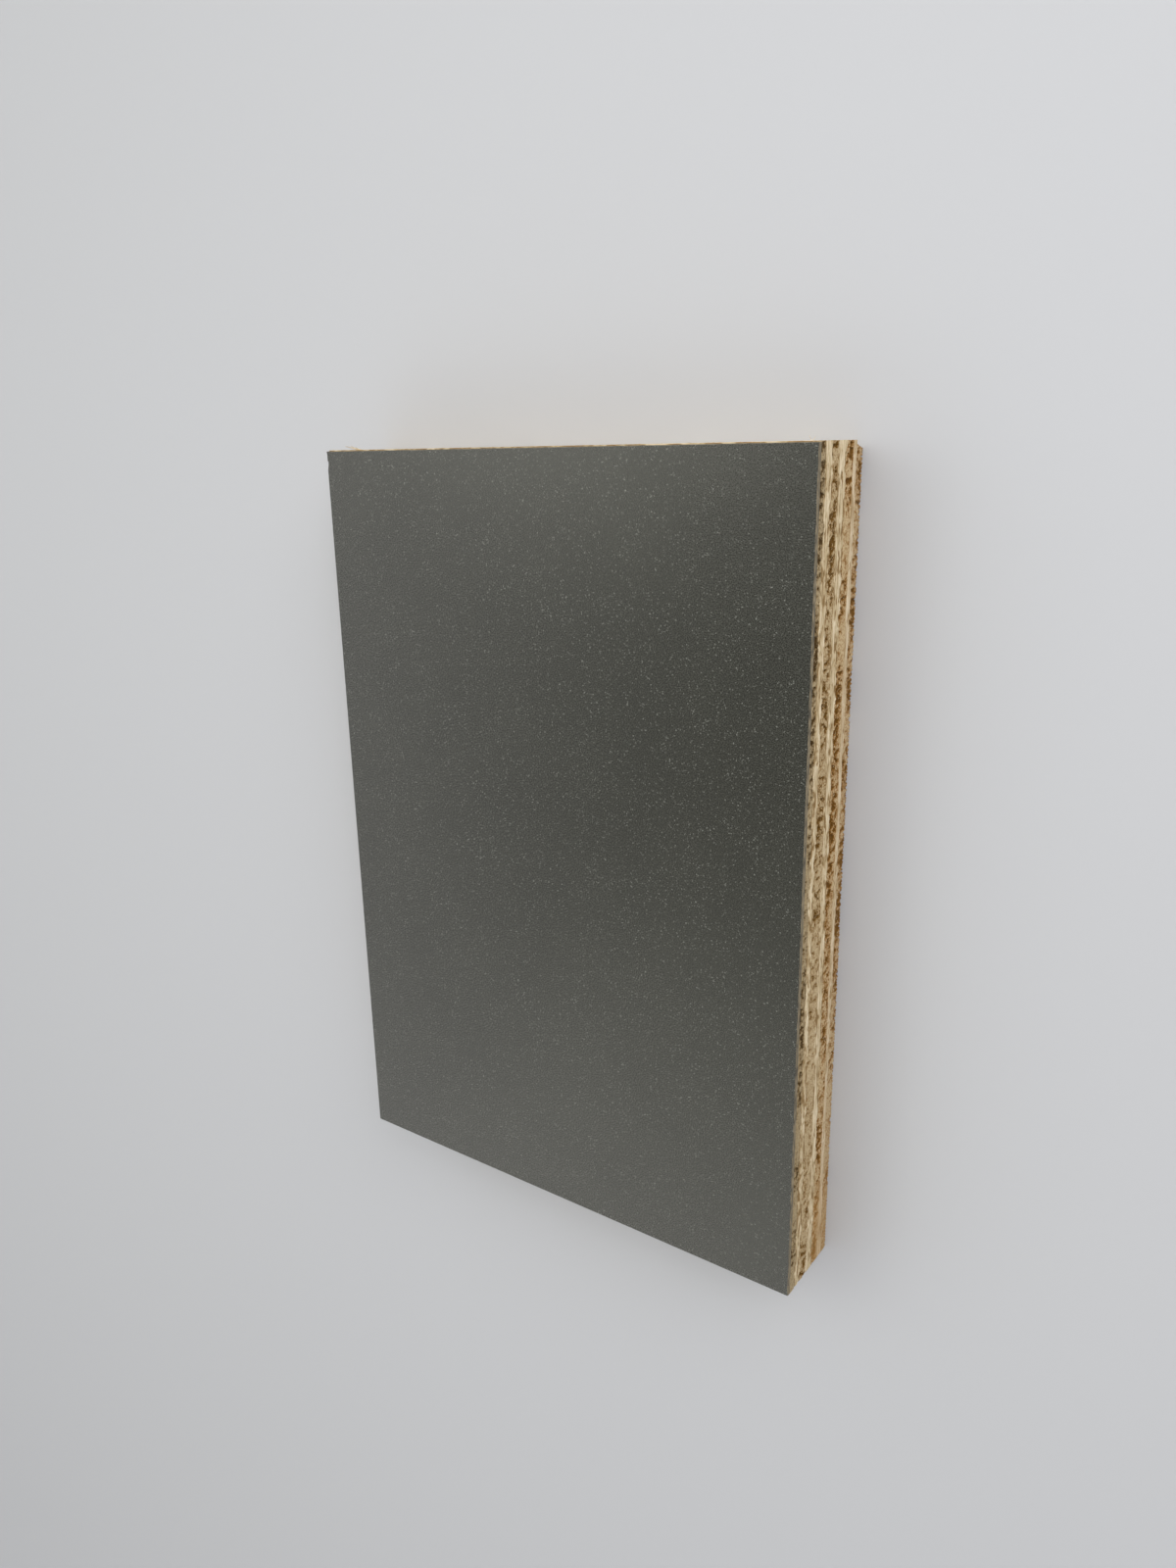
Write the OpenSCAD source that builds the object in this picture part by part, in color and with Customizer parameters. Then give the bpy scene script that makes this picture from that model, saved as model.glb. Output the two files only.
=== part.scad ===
// Sample panel of plywood faced with grey laminate, lying on its back.
// X runs across the face, Y up its length, Z from the bare back to the face.
// The origin is under the middle of the panel, on the back.

/* [Panel] */
// Width of the panel across the face
panel_w = 100; // [60:1:200]
// Length of the panel up the face
panel_l = 144; // [80:1:300]

/* [Face laminate] */
// Thickness of the grey laminate
laminate_t = 0.8; // [0.5:0.1:1.2]
// Width of the eased arris round the face
arris_w = 0.15; // [0.05:0.05:0.3]
// Length of the chip in the left edge, below the upper corner
nick_l = 3.2; // [1:0.1:6]
// Depth of the chip
nick_d = 0.35; // [0.1:0.05:0.6]
// Distance from the upper corner to the chip
nick_from_corner = 0.4; // [0.2:0.1:10]

/* [Veneers, counted from the face] */
// Veneer 1, behind the laminate, grain across
ply_1_t = 1.7; // [1:0.1:3]
// Veneer 2, grain up the panel
ply_2_t = 2.1; // [1:0.1:3]
// Veneer 3, grain across
ply_3_t = 2.5; // [1:0.1:3]
// Veneer 4 in the middle, grain up the panel
ply_4_t = 2.5; // [1:0.1:3]
// Veneer 5, grain across
ply_5_t = 2.6; // [1:0.1:3]
// Veneer 6, grain up the panel
ply_6_t = 1.4; // [1:0.1:3]
// Veneer 7, the bare back, grain across
ply_7_t = 2.2; // [1:0.1:3]

/* [Glue lines] */
// How far a glue line strays from flat
glue_stray = 0.25; // [0.05:0.05:0.35]
// Length of one wave of a glue line
glue_wave_l = 150; // [60:1:300]
// Length of the short straights that follow a wave
glue_step = 3; // [1:0.5:6]

/* [Corner broken out of the back veneer] */
// Run of the break along the upper edge
break_run = 7; // [2:0.5:20]
// Drop of the break down the long edge, at the back
break_drop = 1.2; // [0.3:0.1:4]
// Lean of the break through the veneer, in degrees
break_lean = 15; // [0:1:40]

/* [Hidden] */
$fn = 96;

ply_t = [ply_1_t, ply_2_t, ply_3_t, ply_4_t, ply_5_t, ply_6_t, ply_7_t];
ply_count = len(ply_t);
// One glue line between each two veneers: its length of wave, its stray and its start, each as a share
wave_shares = [1.05, 1, 1.2, 0.7, 0.35, 0.4];
stray_shares = [0.9, 1, 1.1, 0.8, 0.5, 0.5];
start_shares = [0.05, 0.3, 0.1, 0.95, 0.55, 0.15];
glue_steps = max(ceil(panel_l / glue_step), 8);

// Radius of the arc that cuts the chip
nick_r = (nick_l * nick_l / 4 + nick_d * nick_d) / (2 * nick_d);
break_yaw = atan(break_drop / break_run);
break_reach = 3 * (break_run + break_drop);
// How far a cut runs past the face that it opens
overrun = laminate_t;

across_grain_colour = "#8f7450";
long_grain_colour = "#cbb48d";
laminate_colour = "#5b5b55";

// Total thickness of the veneers behind glue line k, where line 0 is the bed of the laminate
function behind(k) = k >= ply_count ? 0 : ply_t[k] + behind(k + 1);

// How far glue line k lies towards the back at height y above the lower edge
function stray(k, y) =
    (k < 1 || k >= ply_count) ? 0
    : glue_stray * stray_shares[k - 1]
        * sin(360 * (y / (glue_wave_l * wave_shares[k - 1]) + start_shares[k - 1]));

// Points of glue line k in the Y-Z plane. The bed of the laminate and the sanded back are flat.
function glue_line(k) =
    let (steps = (k < 1 || k >= ply_count) ? 1 : glue_steps)
    [for (s = [0 : steps]) let (y = panel_l * s / steps) [y - panel_l / 2, behind(k) - stray(k, y)]];

function reversed(points) = [for (i = [len(points) - 1 : -1 : 0]) points[i]];

// Section of veneer i along the panel, between its two glue lines
module veneer_section(i) {
    polygon(concat(glue_line(i - 1), reversed(glue_line(i))));
}

// Veneer i, sawn to the width of the panel
module veneer(i) {
    rotate([90, 0, 90])
        linear_extrude(height = panel_w, center = true)
            veneer_section(i);
}

// Section of the laminate across a span, with its two arrises eased
module laminate_section(span) {
    polygon([
        [-span / 2, 0],
        [span / 2, 0],
        [span / 2, laminate_t - arris_w],
        [span / 2 - arris_w, laminate_t],
        [-span / 2 + arris_w, laminate_t],
        [-span / 2, laminate_t - arris_w]
    ]);
}

// Shallow arc chipped from the left edge of the laminate
module edge_nick() {
    translate([-panel_w / 2 - nick_r + nick_d, panel_l / 2 - nick_from_corner - nick_l / 2, -overrun])
        cylinder(r = nick_r, h = laminate_t + 2 * overrun);
}

// The wood that broke away where the saw left the back
module corner_break() {
    translate([panel_w / 2, panel_l / 2 - break_drop, 0])
        rotate([-break_lean, 0, -break_yaw])
            translate([-break_reach, 0, -break_reach])
                cube([2 * break_reach, break_reach, 2 * break_reach]);
}

module face_laminate() {
    color(laminate_colour)
        translate([0, 0, behind(0)])
            difference() {
                intersection() {
                    rotate([90, 0, 0])
                        linear_extrude(height = panel_l, center = true)
                            laminate_section(panel_w);
                    rotate([90, 0, 90])
                        linear_extrude(height = panel_w, center = true)
                            laminate_section(panel_l);
                }
                edge_nick();
            }
}

module ply_1() { color(across_grain_colour) veneer(1); }
module ply_2() { color(long_grain_colour) veneer(2); }
module ply_3() { color(across_grain_colour) veneer(3); }
module ply_4() { color(long_grain_colour) veneer(4); }
module ply_5() { color(across_grain_colour) veneer(5); }
module ply_6() { color(long_grain_colour) veneer(6); }
module ply_7() {
    color(across_grain_colour)
        difference() {
            veneer(7);
            corner_break();
        }
}

face_laminate();
ply_1();
ply_2();
ply_3();
ply_4();
ply_5();
ply_6();
ply_7();
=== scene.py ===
"""Looks of a sample panel of plywood with a grey laminate on its face.

The panel lies on its back: X runs across the face, Y up its length and Z out of the face. Every layer of
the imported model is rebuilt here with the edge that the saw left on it: torn end grain where the fibres meet
the cut, smoother streaks where they run along it, and loose fibres that stand off the edges.
"""

import logging
import math
import random
from dataclasses import dataclass
from enum import Enum

import bmesh
import bpy
from mathutils import Matrix, Vector, noise


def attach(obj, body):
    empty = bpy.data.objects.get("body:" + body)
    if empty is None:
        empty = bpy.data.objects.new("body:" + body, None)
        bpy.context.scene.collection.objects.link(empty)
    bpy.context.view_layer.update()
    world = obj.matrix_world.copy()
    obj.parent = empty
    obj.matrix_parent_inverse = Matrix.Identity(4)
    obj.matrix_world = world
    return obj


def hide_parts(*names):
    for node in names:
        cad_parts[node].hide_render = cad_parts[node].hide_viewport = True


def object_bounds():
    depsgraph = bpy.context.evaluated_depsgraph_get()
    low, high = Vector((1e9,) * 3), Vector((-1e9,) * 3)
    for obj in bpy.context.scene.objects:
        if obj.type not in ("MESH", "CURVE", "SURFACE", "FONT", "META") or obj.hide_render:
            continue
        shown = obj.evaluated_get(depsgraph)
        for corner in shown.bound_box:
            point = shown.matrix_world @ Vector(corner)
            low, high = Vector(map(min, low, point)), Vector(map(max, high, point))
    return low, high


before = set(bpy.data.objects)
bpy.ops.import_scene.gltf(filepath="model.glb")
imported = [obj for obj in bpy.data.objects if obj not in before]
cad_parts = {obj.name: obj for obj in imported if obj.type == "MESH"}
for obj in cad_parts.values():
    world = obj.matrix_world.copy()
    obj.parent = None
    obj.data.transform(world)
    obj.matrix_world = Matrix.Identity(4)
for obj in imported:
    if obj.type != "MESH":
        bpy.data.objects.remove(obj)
CAD_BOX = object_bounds()

LOG = logging.getLogger("panel")
MM = 0.001
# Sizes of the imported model, in millimetres
PANEL_W, PANEL_L, PANEL_T = (round((high - low) / MM, 3) for low, high in zip(*CAD_BOX))
LAMINATE_T = 0.8
PLIES_T = PANEL_T - LAMINATE_T
# Length of the cell at each end of a layer, in millimetres, that takes up the fray of the short edge
CORNER_CELL = 2.0
# How near an edge a vertex has to be, in millimetres, to be counted as on it
EDGE_SLACK = 0.001
# Shifts of the noise, in millimetres, that give the short edges and opposite edges a cut of their own
SHORT_EDGE_SHIFT = 500.0
OPPOSITE_SHIFT = 31.0
# Waves to a millimetre, and height, of the three noises that fray a glue line
FRAY_NOISES = ((0.3, 1.0), (0.9, 0.8), (2.3, 0.5))


class Grain(Enum):
    """Which way the fibres of a veneer run."""

    ACROSS = "across the panel"
    ALONG = "up the panel"


def linear(colour: str) -> tuple[float, float, float, float]:
    """Turn an sRGB hex colour into linear values.

    Args:
        colour: six hex digits after a hash sign.

    Returns:
        Red, green, blue and an alpha of 1.
    """
    parts = [int(colour[k : k + 2], 16) / 255 for k in (1, 3, 5)]
    r, g, b = (c / 12.92 if c <= 0.04045 else ((c + 0.055) / 1.055) ** 2.4 for c in parts)
    return r, g, b, 1.0


def per_mm(size: float) -> float:
    """Scale of a pattern whose features are so many millimetres wide."""
    return 1.0 / (size * MM)


def on_long_edge(x_mm: float) -> bool:
    """Whether a place across the panel is on one of its long edges."""
    return abs(x_mm) > PANEL_W / 2 - EDGE_SLACK


def on_short_edge(y_mm: float) -> bool:
    """Whether a place up the panel is on one of its short edges."""
    return abs(y_mm) > PANEL_L / 2 - EDGE_SLACK


def edge_place(x_mm: float, y_mm: float) -> tuple[float, float]:
    """Find a place on the rim of the panel, for the noise that shapes the edges.

    Args:
        x_mm: place across the panel.
        y_mm: place up the panel.

    Returns:
        The place along its edge, and a shift that sets opposite edges apart.
    """
    along, out = (y_mm, x_mm) if on_long_edge(x_mm) else (x_mm + SHORT_EDGE_SHIFT, y_mm)
    return along, OPPOSITE_SHIFT if out < 0.0 else 0.0


def smooth_step(start: float, end: float, value: float) -> float:
    """Ease from 0 to 1.

    Args:
        start: value at which the result is 0.
        end: value at which the result is 1; it may lie below the start.
        value: value to ease.

    Returns:
        A number from 0 to 1.
    """
    t = min(max((value - start) / (end - start), 0.0), 1.0)
    return t * t * (3.0 - 2.0 * t)


def add_node(
    tree: bpy.types.NodeTree,
    kind: str,
    settings: dict[str, object],
    inputs: dict[str | int, object],
) -> bpy.types.Node:
    """Add a node, set it and link it.

    Args:
        tree: node tree that gets the node.
        kind: Blender's name of the node type.
        settings: the node's own properties; "stops" holds the places and colours of a colour ramp.
        inputs: values or output sockets by the name or number of the input.

    Returns:
        The new node.
    """
    node = tree.nodes.new(kind)
    for name, value in settings.items():
        if name == "stops":
            ramp = node.color_ramp
            while len(ramp.elements) < len(value):
                ramp.elements.new(0.5)
            for element, (place, colour) in zip(ramp.elements, value):
                element.position = place
                element.color = linear(colour)
        else:
            setattr(node, name, value)
    for name, value in inputs.items():
        if isinstance(value, bpy.types.NodeSocket):
            tree.links.new(value, node.inputs[name])
        else:
            node.inputs[name].default_value = value
    return node


def new_material(name: str) -> tuple[bpy.types.Material, bpy.types.NodeTree]:
    """Make an empty material.

    Args:
        name: the real material and how its surface was made.

    Returns:
        The material and its node tree.
    """
    material = bpy.data.materials.new(name)
    material.use_nodes = True
    material.node_tree.nodes.clear()
    return material, material.node_tree


@dataclass(frozen=True)
class LaminateFinish:
    """Grey melamine laminate pressed against a fine textured plate."""

    light: str = "#4a4a42"
    dark: str = "#282822"
    # Pale grey of the painted glints: pin-point highlights put into the colour
    painted_glint: str = "#7a7b74"
    # Real grain and glints are about half this size, and are drawn coarser so that they show; the glints are
    # painted highlights
    grain_mm: float = 0.2
    painted_glint_cell_mm: float = 0.17
    painted_glint_share: float = 0.05
    cloud_mm: float = 14.0
    cloud_share: float = 0.08
    relief_mm: float = 0.03
    roughness: float = 0.28
    roughness_swing: float = 0.06
    ior: float = 1.6

    def material(self) -> bpy.types.Material:
        """Make the material of the pressed face.

        Returns:
            The material.
        """
        # Pressed melamine gives the eye a dark satin sheen and a fine grain, with pin-point glints painted
        # into the base colour as highlights
        material, tree = new_material("melamine laminate, pressed fine texture")
        place = add_node(tree, "ShaderNodeTexCoord", {}, {}).outputs["Object"]
        grain = add_node(
            tree,
            "ShaderNodeTexNoise",
            {},
            {"Vector": place, "Scale": per_mm(self.grain_mm), "Detail": 1.5, "Roughness": 0.55},
        ).outputs["Fac"]
        cloud = add_node(
            tree, "ShaderNodeTexNoise", {}, {"Vector": place, "Scale": per_mm(self.cloud_mm), "Detail": 2.0}
        ).outputs["Fac"]
        tone = add_node(
            tree, "ShaderNodeMath", {"operation": "MULTIPLY_ADD"}, {0: cloud, 1: self.cloud_share, 2: grain}
        ).outputs[0]
        base = add_node(
            tree,
            "ShaderNodeValToRGB",
            {"stops": [(0.49, self.dark), (0.75, self.light)]},
            {"Fac": tone},
        ).outputs["Color"]
        # Painted highlights: a few random cells get a pale grey in the base colour, in place of glints of
        # light
        painted_glint_cells = add_node(
            tree, "ShaderNodeTexVoronoi", {}, {"Vector": place, "Scale": per_mm(self.painted_glint_cell_mm)}
        ).outputs["Color"]
        turned = add_node(tree, "ShaderNodeSeparateColor", {}, {"Color": painted_glint_cells}).outputs["Red"]
        painted_glint = add_node(
            tree,
            "ShaderNodeMapRange",
            {},
            {"Value": turned, "From Min": 1.0 - self.painted_glint_share, "From Max": 1.0},
        ).outputs["Result"]
        colour = add_node(
            tree,
            "ShaderNodeMix",
            {"data_type": "RGBA"},
            {0: painted_glint, 6: base, 7: linear(self.painted_glint)},
        ).outputs[2]
        rough = add_node(
            tree,
            "ShaderNodeMapRange",
            {},
            {
                "Value": grain,
                "To Min": self.roughness - self.roughness_swing,
                "To Max": self.roughness + self.roughness_swing,
            },
        ).outputs["Result"]
        bump = add_node(
            tree,
            "ShaderNodeBump",
            {},
            {"Height": grain, "Strength": 0.35, "Distance": self.relief_mm * MM},
        ).outputs["Normal"]
        shader = add_node(
            tree,
            "ShaderNodeBsdfPrincipled",
            {},
            {"Base Color": colour, "Roughness": rough, "Normal": bump, "IOR": self.ior},
        )
        add_node(tree, "ShaderNodeOutputMaterial", {}, {"Surface": shader.outputs["BSDF"]})
        return material


@dataclass(frozen=True)
class CutLaminateFinish:
    """Sawn edge of the laminate, of resin and paper."""

    light: str = "#908268"
    dark: str = "#4a453a"
    # Real sheets of paper are about 0.1 mm thick, and are drawn coarser so that they show
    sheet_mm: float = 0.3
    fleck_mm: float = 1.6
    relief_mm: float = 0.04
    roughness: float = 0.7
    ior: float = 1.5

    def material(self) -> bpy.types.Material:
        """Make the material of the sawn edge.

        Returns:
            The material.
        """
        # Sawn resin and paper give the eye a thin dull line in layers, paler than the face
        material, tree = new_material("melamine laminate, sawn edge")
        place = add_node(tree, "ShaderNodeTexCoord", {}, {}).outputs["Object"]
        run, sheet = per_mm(self.fleck_mm), per_mm(self.sheet_mm)
        layered = add_node(
            tree,
            "ShaderNodeMapping",
            {"vector_type": "POINT"},
            {"Vector": place, "Scale": (run, run, sheet)},
        ).outputs["Vector"]
        fleck = add_node(
            tree,
            "ShaderNodeTexNoise",
            {},
            {"Vector": layered, "Scale": 1.0, "Detail": 3.0, "Roughness": 0.6},
        ).outputs["Fac"]
        colour = add_node(
            tree,
            "ShaderNodeValToRGB",
            {"stops": [(0.36, self.dark), (0.64, self.light)]},
            {"Fac": fleck},
        ).outputs["Color"]
        bump = add_node(
            tree,
            "ShaderNodeBump",
            {},
            {"Height": fleck, "Strength": 0.5, "Distance": self.relief_mm * MM},
        ).outputs["Normal"]
        shader = add_node(
            tree,
            "ShaderNodeBsdfPrincipled",
            {},
            {"Base Color": colour, "Roughness": self.roughness, "Normal": bump, "IOR": self.ior},
        )
        add_node(tree, "ShaderNodeOutputMaterial", {}, {"Surface": shader.outputs["BSDF"]})
        return material


@dataclass(frozen=True)
class VeneerFinish:
    """Peeled poplar veneer, sawn dry."""

    fibre: str = "#c3ae8a"
    torn: str = "#967a50"
    # Darkest brown of torn end grain, at the floors of the pits: partly the wood's colour, partly painted
    # shade
    pit_brown_and_shade: str = "#63440f"
    pale: str = "#e6d7ba"
    streak: str = "#c0aa84"
    shade: str = "#876c44"
    # Warmer wood at the foot of the right-hand edge: its start and end up the panel, and in from the edge
    foot: str = "#a8824e"
    foot_share: float = 0.0
    foot_from_mm: float = -52.0
    foot_to_mm: float = -64.0
    foot_fade_mm: float = 3.0
    foot_rim_mm: float = 0.5
    # Real pores and fibres are under 0.1 mm wide, and are drawn coarser so that they show
    pore_mm: float = 0.2
    pore_length_mm: float = 0.3
    streak_mm: float = 0.5
    streak_length_mm: float = 5.0
    drift_mm: float = 7.0
    relief_mm: float = 0.12
    roughness: float = 0.82
    ior: float = 1.45
    specular: float = 0.3

    def material(self, name: str, grain: Grain) -> bpy.types.Material:
        """Make the material of one veneer.

        Args:
            name: the veneer's name.
            grain: which way its fibres run.

        Returns:
            A material that reads the mesh's "tear" and "end_grain" values.
        """
        # Poplar that was peeled and sawn gives the eye brown, pitted end grain beside pale, silky streaks
        material, tree = new_material(f"poplar veneer, peeled and sawn, {name}")
        place = add_node(tree, "ShaderNodeTexCoord", {}, {}).outputs["Object"]
        tear = add_node(tree, "ShaderNodeAttribute", {"attribute_name": "tear"}, {}).outputs["Fac"]
        ends = add_node(tree, "ShaderNodeAttribute", {"attribute_name": "end_grain"}, {}).outputs["Fac"]
        pore, dash = per_mm(self.pore_mm), per_mm(self.pore_length_mm)
        dashed = add_node(
            tree,
            "ShaderNodeMapping",
            {"vector_type": "POINT"},
            {"Vector": place, "Scale": (dash, dash, pore)},
        ).outputs["Vector"]
        pores = add_node(
            tree,
            "ShaderNodeTexNoise",
            {},
            {"Vector": dashed, "Scale": 1.0, "Detail": 2.0, "Roughness": 0.6},
        ).outputs["Fac"]
        drift = add_node(
            tree, "ShaderNodeTexNoise", {}, {"Vector": place, "Scale": per_mm(self.drift_mm), "Detail": 1.0}
        ).outputs["Fac"]
        across, along = per_mm(self.streak_mm), per_mm(self.streak_length_mm)
        stretch = (along, across, across) if grain is Grain.ACROSS else (across, along, across)
        drawn = add_node(
            tree, "ShaderNodeMapping", {"vector_type": "POINT"}, {"Vector": place, "Scale": stretch}
        ).outputs["Vector"]
        streaks = add_node(
            tree,
            "ShaderNodeTexNoise",
            {},
            {"Vector": drawn, "Scale": 1.0, "Detail": 4.0, "Roughness": 0.8, "Distortion": 0.7},
        ).outputs["Fac"]
        # End grain: the more torn, the browner, peppered with pores; the darkest brown, at the floors of the
        # deepest pits, is partly painted shade
        pepper = add_node(
            tree, "ShaderNodeMapRange", {}, {"Value": pores, "From Min": 0.3, "From Max": 0.7}
        ).outputs["Result"]
        mottle = add_node(
            tree, "ShaderNodeMix", {"data_type": "FLOAT"}, {0: 0.35, 2: pepper, 3: drift}
        ).outputs[0]
        torn_share = add_node(
            tree, "ShaderNodeMix", {"data_type": "FLOAT"}, {0: 0.5, 2: mottle, 3: tear}
        ).outputs[0]
        cut_ends = add_node(
            tree,
            "ShaderNodeValToRGB",
            {"stops": [(0.19, self.fibre), (0.4, self.torn), (0.55, self.pit_brown_and_shade)]},
            {"Fac": torn_share},
        ).outputs["Color"]
        # Long grain: pale streaks, darker where the saw tore them
        smoothed = add_node(
            tree, "ShaderNodeMath", {"operation": "MULTIPLY_ADD"}, {0: tear, 1: -0.3, 2: streaks}
        ).outputs[0]
        worn = add_node(
            tree, "ShaderNodeMath", {"operation": "MULTIPLY_ADD"}, {0: drift, 1: 0.25, 2: smoothed}
        ).outputs[0]
        cut_sides = add_node(
            tree,
            "ShaderNodeValToRGB",
            {"stops": [(0.44, self.shade), (0.58, self.streak), (0.75, self.pale)]},
            {"Fac": worn},
        ).outputs["Color"]
        sawn = add_node(
            tree, "ShaderNodeMix", {"data_type": "RGBA"}, {0: ends, 6: cut_sides, 7: cut_ends}
        ).outputs[2]
        axes = add_node(tree, "ShaderNodeSeparateXYZ", {}, {"Vector": place}).outputs
        foot = add_node(
            tree,
            "ShaderNodeMapRange",
            {"interpolation_type": "SMOOTHSTEP"},
            {
                "Value": axes["Y"],
                "From Min": self.foot_from_mm * MM,
                "From Max": self.foot_to_mm * MM,
                "To Max": self.foot_share,
            },
        ).outputs["Result"]
        low = add_node(
            tree,
            "ShaderNodeMapRange",
            {"interpolation_type": "SMOOTHSTEP"},
            {
                "Value": axes["X"],
                "From Min": (PANEL_W / 2 - self.foot_fade_mm) * MM,
                "From Max": (PANEL_W / 2 - self.foot_rim_mm) * MM,
                "To Max": foot,
            },
        ).outputs["Result"]
        colour = add_node(
            tree, "ShaderNodeMix", {"data_type": "RGBA"}, {0: low, 6: sawn, 7: linear(self.foot)}
        ).outputs[2]
        relief = add_node(
            tree, "ShaderNodeMix", {"data_type": "FLOAT"}, {0: ends, 2: streaks, 3: pores}
        ).outputs[0]
        bump = add_node(
            tree,
            "ShaderNodeBump",
            {},
            {"Height": relief, "Strength": 0.7, "Distance": self.relief_mm * MM},
        ).outputs["Normal"]
        shader = add_node(
            tree,
            "ShaderNodeBsdfPrincipled",
            {},
            {
                "Base Color": colour,
                "Roughness": self.roughness,
                "Normal": bump,
                "IOR": self.ior,
                "Specular IOR Level": self.specular,
            },
        )
        add_node(tree, "ShaderNodeOutputMaterial", {}, {"Surface": shader.outputs["BSDF"]})
        return material


@dataclass(frozen=True)
class PeeledFaceFinish:
    """Bare back of the last veneer, peeled on a lathe."""

    light: str = "#cdb78e"
    middle: str = "#bfa579"
    dark: str = "#a5875a"
    pore: str = "#7d5f36"
    figure_mm: float = 22.0
    figure_length_mm: float = 150.0
    figure_bands: float = 22.0
    # Real fibres and pores are under 0.1 mm wide, and are drawn coarser so that they show
    fibre_mm: float = 0.4
    fibre_length_mm: float = 11.0
    pore_mm: float = 0.3
    pore_length_mm: float = 2.6
    relief_mm: float = 0.06
    roughness: float = 0.7
    ior: float = 1.45

    def material(self) -> bpy.types.Material:
        """Make the material of the back, whose fibres run across the panel.

        Returns:
            The material.
        """
        # Peeled poplar gives the eye a soft wavy figure with fine fibres and short dark pores
        material, tree = new_material("poplar veneer, peeled face left bare")
        place = add_node(tree, "ShaderNodeTexCoord", {}, {}).outputs["Object"]
        sizes = {
            "figure": (self.figure_length_mm, self.figure_mm),
            "fibre": (self.fibre_length_mm, self.fibre_mm),
            "pore": (self.pore_length_mm, self.pore_mm),
        }
        drawn = {}
        for name, (length, width) in sizes.items():
            stretched = add_node(
                tree,
                "ShaderNodeMapping",
                {"vector_type": "POINT"},
                {"Vector": place, "Scale": (per_mm(length), per_mm(width), per_mm(width))},
            ).outputs["Vector"]
            drawn[name] = add_node(
                tree, "ShaderNodeTexNoise", {}, {"Vector": stretched, "Scale": 1.0, "Detail": 2.0}
            ).outputs["Fac"]
        banded = add_node(
            tree, "ShaderNodeMath", {"operation": "MULTIPLY"}, {0: drawn["figure"], 1: self.figure_bands}
        ).outputs[0]
        rings = add_node(tree, "ShaderNodeMath", {"operation": "PINGPONG"}, {0: banded, 1: 1.0}).outputs[0]
        tone = add_node(
            tree, "ShaderNodeMix", {"data_type": "FLOAT"}, {0: 0.74, 2: rings, 3: drawn["fibre"]}
        ).outputs[0]
        wood = add_node(
            tree,
            "ShaderNodeValToRGB",
            {"stops": [(0.25, self.light), (0.5, self.middle), (0.78, self.dark)]},
            {"Fac": tone},
        ).outputs["Color"]
        open_pore = add_node(
            tree,
            "ShaderNodeMapRange",
            {},
            {"Value": drawn["pore"], "From Min": 0.62, "From Max": 0.72, "To Max": 0.6},
        ).outputs["Result"]
        colour = add_node(
            tree, "ShaderNodeMix", {"data_type": "RGBA"}, {0: open_pore, 6: wood, 7: linear(self.pore)}
        ).outputs[2]
        bump = add_node(
            tree,
            "ShaderNodeBump",
            {},
            {"Height": drawn["fibre"], "Strength": 0.5, "Distance": self.relief_mm * MM},
        ).outputs["Normal"]
        shader = add_node(
            tree,
            "ShaderNodeBsdfPrincipled",
            {},
            {"Base Color": colour, "Roughness": self.roughness, "Normal": bump, "IOR": self.ior},
        )
        add_node(tree, "ShaderNodeOutputMaterial", {}, {"Surface": shader.outputs["BSDF"]})
        return material


@dataclass(frozen=True)
class GlueLine:
    """Line between two veneers, which strays a little from flat and is frayed where it was sawn."""

    height_mm: float
    stray_mm: float = 0.0
    wave_mm: float = 1.0
    start: float = 0.0
    fray_mm: float = 0.0

    def height_at(self, x_mm: float, y_mm: float) -> float:
        """Work out how high the line runs at a place on the panel.

        Args:
            x_mm: place across the panel.
            y_mm: place up the panel.

        Returns:
            Height above the back in millimetres.
        """
        turn = (y_mm + PANEL_L / 2) / self.wave_mm + self.start
        height = self.height_mm - self.stray_mm * math.sin(math.tau * turn)
        if not on_long_edge(x_mm) and not on_short_edge(y_mm):
            return height
        fray = 0.0
        for rate, share in FRAY_NOISES:
            fray += share * noise.noise(Vector((x_mm * rate, y_mm * rate, self.height_mm)))
        return height + self.fray_mm * fray


@dataclass(frozen=True)
class TornPlace:
    """A place on the right-hand edge that is torn more than the rest, or less if its weight is below 0."""

    down_mm: float
    share: float
    reach_mm: float
    weight: float


@dataclass(frozen=True)
class Ripple:
    """Smooth noise on a sawn edge, with so many patches to a millimetre along the edge and up it."""

    along: float
    up: float
    shift: float
    weight: float

    def at(self, along: float, height: float, seed: float) -> float:
        """Value from about -1 to 1 at a place on the edge, in millimetres."""
        return noise.noise(Vector((along * self.along, height * self.up, seed + self.shift)))


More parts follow.
